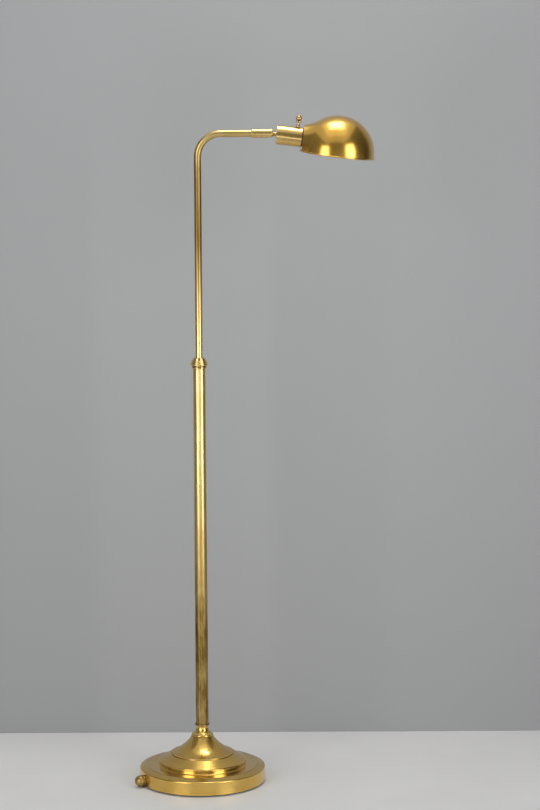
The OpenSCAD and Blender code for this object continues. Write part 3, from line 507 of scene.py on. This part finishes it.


# Darker towards the foot: the brown grows from 0.62 m down to 0.30 m, broken into finger-long stains.
def stem_browning(tree):
    point = own_point(tree)
    height = wire(tree, "SeparateXYZ", {"Vector": point}).outputs["Z"]
    stretched = wire(tree, "VectorMath", {0: point, 1: STAIN_STRETCH}, operation="MULTIPLY")
    pattern = mottle(tree, stretched.outputs["Vector"], STAIN_PATCH)
    stains = spread(tree, pattern, *STAIN_BAND, *STAIN_SHARES)
    return sums(tree, "MULTIPLY", spread(tree, height, *STEM_BROWN_HEIGHTS, 0.0, STEM_BROWN_MOST), stains)


def arm_age(tree):
    height = wire(tree, "SeparateXYZ", {"Vector": own_point(tree)}).outputs["Z"]
    upright = spread(tree, height, *ARM_AGES, 0.0, ARM_AGE_MOST)
    bend = spread(tree, height, *BEND_AGES, BEND_AGE_LEAST, ARM_AGE_MOST)
    return sums(tree, "MINIMUM", upright, bend)


def arm_marks(tree, point, pitch=DRAW_PITCH):
    across = wire(tree, "SeparateXYZ", {"Vector": point}).outputs["X"]
    share = spread(tree, across, *BEND_SPAN)
    along = sums(tree, "MULTIPLY", share, die_marks(tree, point, pitch, (DRAW_STRETCH, 1, 1)))
    upright = sums(tree, "MULTIPLY", sums(tree, "SUBTRACT", 1.0, share), die_marks(tree, point, pitch))
    return sums(tree, "ADD", along, upright)


drawn_stem = brass("drawn_brass_stem", die_marks, age=stem_browning, polish=0.29, tones=STEM_BRASS)
drawn_arm = brass("drawn_brass_arm", arm_marks, age=arm_age, polish=0.27, tones=STEM_BRASS)
dress(drawn_stem, "stem_tube")
dress(drawn_arm, "arm_tube")

# %% [markdown]
# ## Small turned pieces
# The collar is turned about the stem, the swivel about the arm, the socket sleeve and the ball about the
# head, the knob about its own shaft, and the cord's elbow about a line out of the foot. They share the
# recipe and differ in their axis, their age and their polish.

# %% Turned brass
AGE_PATCH = 0.006
AGE_BAND = (0.2, 0.8)
ball_middle = sum(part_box("swivel_ball"), Vector()) / 2
knob_middle = sum(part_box("switch_knob"), Vector()) / 2
elbow_middle = sum(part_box("cord_elbow"), Vector()) / 2
elbow_along = (elbow_middle.x, elbow_middle.y, 0)
stem_middle, stem_along, arm_along = (0, 0, 0), (0, 0, 1), (1, 0, 0)


def turned(name, origin, axis, *names, age=None, polish=POLISH):
    def point(tree):
        return own_point(tree, origin, axis)
    dress(brass(name, lathe_marks, point, age, polish), *names)


def even_age(least, most):
    def age(tree):
        return spread(tree, mottle(tree, own_point(tree), AGE_PATCH), *AGE_BAND, least, most)
    return age


turned("turned_brass_collar", stem_middle, stem_along, "stem_collar")
turned("turned_brass_swivel", ball_middle, arm_along, "swivel_ring", "swivel_housing",
       age=even_age(0.05, 0.25), polish=0.26)
turned("turned_brass_ball", ball_middle, head_along, "swivel_ball", age=even_age(0.2, 0.7))
turned("turned_brass_socket", ball_middle, head_along,
       "socket_sleeve", "shade_ring", "screw_shell", "centre_contact",
       age=even_age(0.0, 0.25), polish=0.23)
turned("turned_brass_knob", knob_middle, head_up, "switch_knob", age=even_age(0.3, 0.7))
turned("turned_brass_elbow", elbow_middle, elbow_along, "cord_elbow", "elbow_nut",
       age=even_age(0.5, 0.9), polish=0.3)

# %% [markdown]
# ## The dark ring under the stem
# The small stepped ring between foot and stem has lost its polish: wax and dust have settled in its
# grooves, and the recipe's painted shade darkens them further. It is the same brass with an even, strong
# age.

# %% Dark brass
turned("dark_brass_ring", stem_middle, stem_along, "neck_ring", age=even_age(0.7, 1.0))

# %% [markdown]
# ## Iron, steel and the insulators
# What holds the lamp together hardly shows: a cast iron weight under the foot, steel nuts and screws, a
# hard fibre bushing, and a brown phenolic socket in the gap behind the shade. Each still gets the grain
# that it has on the bench: sand-cast pits, faint turning streaks, or the flow marks of moulded resin. Their
# edges are rubbed too, so the recipe's edge mask is used again.

# %% Inner finishes
CAST_IRON = ((0.03, 0.03, 0.032, 1), (0.09, 0.085, 0.08, 1))
STEEL = ((0.42, 0.42, 0.43, 1), (0.58, 0.58, 0.58, 1))
FIBRE = ((0.10, 0.028, 0.018, 1), (0.17, 0.05, 0.03, 1))
PHENOLIC = ((0.13, 0.068, 0.027, 1), (0.22, 0.12, 0.05, 1))
ALUMINIUM = ((0.62, 0.62, 0.61, 1), (0.78, 0.78, 0.77, 1))
EDGE_PALENESS = 0.7
EDGE_LIGHTER = 1.6


def grainy(name, tones, grain, roughness, metallic, pit):
    material, tree, shader = new_finish(name)
    point = own_point(tree)
    pattern = mottle(tree, point, grain)
    worn = sums(tree, "MULTIPLY", rubbed_edges(tree, point), EDGE_PALENESS)
    pale = tuple(min(1.0, EDGE_LIGHTER * c) for c in tones[1])
    plain, lighter = mixed(tree, pattern, *tones), mixed(tree, pattern, tones[1], pale)
    tree.links.new(mixed(tree, worn, plain, lighter), shader.inputs["Base Color"])
    tree.links.new(spread(tree, pattern, *NOISE_BAND, *roughness), shader.inputs["Roughness"])
    bump = wire(tree, "Bump", {"Height": mottle(tree, point, grain / 2), "Distance": pit})
    tree.links.new(bump.outputs["Normal"], shader.inputs["Normal"])
    shader.inputs["Metallic"].default_value = metallic
    return material


iron = grainy("sand_cast_iron", CAST_IRON,
              grain=0.003, roughness=(0.6, 0.85), metallic=0.6, pit=0.0003)
steel = grainy("turned_steel", STEEL,
               grain=0.002, roughness=(0.25, 0.42), metallic=1.0, pit=0.00004)
fibre = grainy("vulcan_fibre", FIBRE,
               grain=0.0015, roughness=(0.45, 0.65), metallic=0.0, pit=0.00005)
phenolic = grainy("brown_phenolic", PHENOLIC,
                  grain=0.004, roughness=(0.42, 0.58), metallic=0.0, pit=0.00003)
aluminium = grainy("bulb_cap_aluminium", ALUMINIUM,
                   grain=0.002, roughness=(0.22, 0.4), metallic=1.0, pit=0.00003)
dress(iron, "base_weight")
dress(steel, "base_washer", "base_nut", "stem_nipple", "stem_plug", "guide_stop", "guide_clip",
      "swivel_screw", "swivel_plug", "ball_spring", "socket_nut", "terminal_screws", "switch_shaft")
dress(fibre, "collar_bushing", "guide_sleeve", "friction_washer", "ball_cup", "cord_bushing")
dress(phenolic, "socket_body")
dress(aluminium, "bulb_cap")

# %% [markdown]
# ## Opal glass
# The bulb is a small opal globe. Opal glass is clear glass with a milky layer inside, so light sinks in and
# comes back out softened. Subsurface scattering does that, with a smooth coat for the clear outer skin and
# a faint waviness of blown glass.

# %% Bulb glass
GLASS_TONES = ((0.84, 0.83, 0.79, 1), (0.90, 0.89, 0.86, 1))
GLASS_PATCH, GLASS_SMEAR, GLASS_WAVE = 0.02, 0.006, 0.012
GLASS_WAVE_HEIGHT = 0.00005
GLASS_ROUGHNESS = (0.12, 0.2)
MILKINESS = 0.35
MILK_DEPTH = 0.004
GLASS_SKIN = 0.5


def opal_glass():
    material, tree, shader = new_finish("opal_glass")
    point = own_point(tree)
    tree.links.new(mixed(tree, mottle(tree, point, GLASS_PATCH), *GLASS_TONES), shader.inputs["Base Color"])
    wavy = {"Height": mottle(tree, point, GLASS_WAVE, SMOOTH_DETAIL), "Distance": GLASS_WAVE_HEIGHT}
    tree.links.new(wire(tree, "Bump", wavy).outputs["Normal"], shader.inputs["Normal"])
    smears = spread(tree, mottle(tree, point, GLASS_SMEAR), *NOISE_BAND, *GLASS_ROUGHNESS)
    tree.links.new(smears, shader.inputs["Roughness"])
    shader.inputs["Subsurface Weight"].default_value = MILKINESS
    shader.inputs["Subsurface Scale"].default_value = MILK_DEPTH
    shader.inputs["Coat Weight"].default_value = GLASS_SKIN
    return material


dress(opal_glass(), "bulb_glass")

# %% [markdown]
# ## The felt under the foot
# A disc of pressed wool felt keeps the iron off the floor. It is soft, so the plain solid isn't shown: this
# piece takes its place. Its outline is spun from a short profile with a crushed, rounded edge. Noise pushes
# the edge in and out, as scissors leave it, and some hundreds of short fibres stand out of the cut.

# %% Felt pad
FELT_STEPS = 240
FELT_PROFILE = [(0.0, 0.0), (0.55, 0.0), (0.975, 0.0), (0.994, 0.12), (1.0, 0.4),
                (0.999, 0.7), (0.993, 0.95), (0.97, 1.0), (0.55, 1.0), (0.0, 1.0)]
EDGE_FROM = 0.9
EDGE_WAVES = 14
EDGE_PUSH = 0.0035
EDGE_SLANT = 0.2
FIBRE_COUNT = 700
FIBRE_LENGTH = 0.0016
FIBRE_LENGTHS = (0.4, 1.0)
FIBRE_HALF = 0.00004
FIBRE_ROOT = 0.996
FIBRE_LEVELS = (0.15, 0.9)
LEAN_SIDE, LEAN_OUT, LEAN_UP = (-0.9, 0.9), (0.2, 0.6), (-0.2, 0.35)
FELT_SEED = 7
felt_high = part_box("base_felt")[1]
felt_radius = felt_high.x
felt_top = felt_high.z


def felt_edge(angle, share):
    spot = Vector((math.cos(angle), math.sin(angle), share * EDGE_SLANT)) * EDGE_WAVES
    return 1 + EDGE_PUSH * noise.noise(spot) * (share > EDGE_FROM)


def felt_ring(build, share, level):
    ring = []
    for i in range(FELT_STEPS if share else 1):
        angle = 2 * math.pi * i / FELT_STEPS
        reach = felt_radius * share * felt_edge(angle, share)
        ring.append(build.verts.new((reach * math.cos(angle), reach * math.sin(angle), felt_top * level)))
    return ring


def spin_felt(build):
    rings = [felt_ring(build, share, level) for share, level in FELT_PROFILE]
    for low, high in zip(rings, rings[1:]):
        for i in range(FELT_STEPS):
            j = (i + 1) % FELT_STEPS
            corners = [low[i % len(low)], low[j % len(low)], high[j % len(high)], high[i % len(high)]]
            build.faces.new(list(dict.fromkeys(corners)))


def stand_fibre(build, dice):
    angle = dice.uniform(0, 2 * math.pi)
    out = Vector((math.cos(angle), math.sin(angle), 0))
    side = Vector((-out.y, out.x, 0))
    root = out * felt_radius * FIBRE_ROOT + Vector((0, 0, felt_top * dice.uniform(*FIBRE_LEVELS)))
    lean = side * dice.uniform(*LEAN_SIDE) + out * dice.uniform(*LEAN_OUT)
    lean = lean + Vector((0, 0, dice.uniform(*LEAN_UP)))
    tip = root + lean.normalized() * FIBRE_LENGTH * dice.uniform(*FIBRE_LENGTHS)
    tip.z = min(max(tip.z, FIBRE_HALF), felt_top)
    foot = [root + Vector((0, 0, FIBRE_HALF)), root - Vector((0, 0, FIBRE_HALF)), root + side * FIBRE_HALF]
    corners = [build.verts.new(p) for p in foot]
    point = build.verts.new(tip)
    for i in range(3):
        build.faces.new((corners[i], corners[(i + 1) % 3], point))


felt_build = bmesh.new()
spin_felt(felt_build)
felt_dice = random.Random(FELT_SEED)
for _ in range(FIBRE_COUNT):
    stand_fibre(felt_build, felt_dice)
bmesh.ops.recalc_face_normals(felt_build, faces=felt_build.faces)
felt_mesh = bpy.data.meshes.new("felt_pad")
felt_build.to_mesh(felt_mesh)
felt_build.free()
felt_mesh.polygons.foreach_set("use_smooth", [True] * len(felt_mesh.polygons))
felt = bpy.data.objects.new("felt_pad", felt_mesh)
scene.collection.objects.link(felt)
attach(felt, "base")
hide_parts("base_felt")
print("felt pad:", len(felt_mesh.vertices), "points,", FIBRE_COUNT, "fibres")

# %% [markdown]
# ## Wool
# Felt has no weave: its fibres lie every way. Fine noise of two sizes gives the tangle, and a sheen makes
# its edge glow softly, as loose fibres do.

# %% Felt finish
WOOL_TONES = ((0.014, 0.022, 0.016, 1), (0.065, 0.09, 0.066, 1))
TANGLE_SIZE, TANGLE_DETAIL, LUMP_SIZE = 0.0006, 6.0, 0.006
LUMP_LIFT = 0.4
NAP_HEIGHT = 0.0004
WOOL_ROUGHNESS = (0.85, 1.0)
WOOL_SHEEN, WOOL_SHEEN_ROUGHNESS = 0.3, 0.5


def pressed_wool():
    material, tree, shader = new_finish("green_black_felt")
    point = own_point(tree)
    tangle = mottle(tree, point, TANGLE_SIZE, TANGLE_DETAIL)
    lumps = sums(tree, "ADD", mottle(tree, point, LUMP_SIZE), LUMP_LIFT)
    tone = mixed(tree, sums(tree, "MULTIPLY", tangle, lumps), *WOOL_TONES)
    tree.links.new(tone, shader.inputs["Base Color"])
    nap = wire(tree, "Bump", {"Height": tangle, "Distance": NAP_HEIGHT})
    tree.links.new(nap.outputs["Normal"], shader.inputs["Normal"])
    tree.links.new(spread(tree, tangle, *NOISE_BAND, *WOOL_ROUGHNESS), shader.inputs["Roughness"])
    shader.inputs["Sheen Weight"].default_value = WOOL_SHEEN
    shader.inputs["Sheen Roughness"].default_value = WOOL_SHEEN_ROUGHNESS
    return material


wool = pressed_wool()
felt_mesh.materials.append(wool)
print("felt finish:", wool.name)

# %% [markdown]
# ## Did anything grow?
# Looks may not change sizes. The box of the dressed lamp is compared with the box of the frame that came
# in, and the largest change is printed.

# %% Sizes and the end
visual_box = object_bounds()
growth = max(abs(a - b) for one, two in zip(cad_box, visual_box) for a, b in zip(one, two))
print("largest change of the box:", round(growth * 1000, 2), "mm")
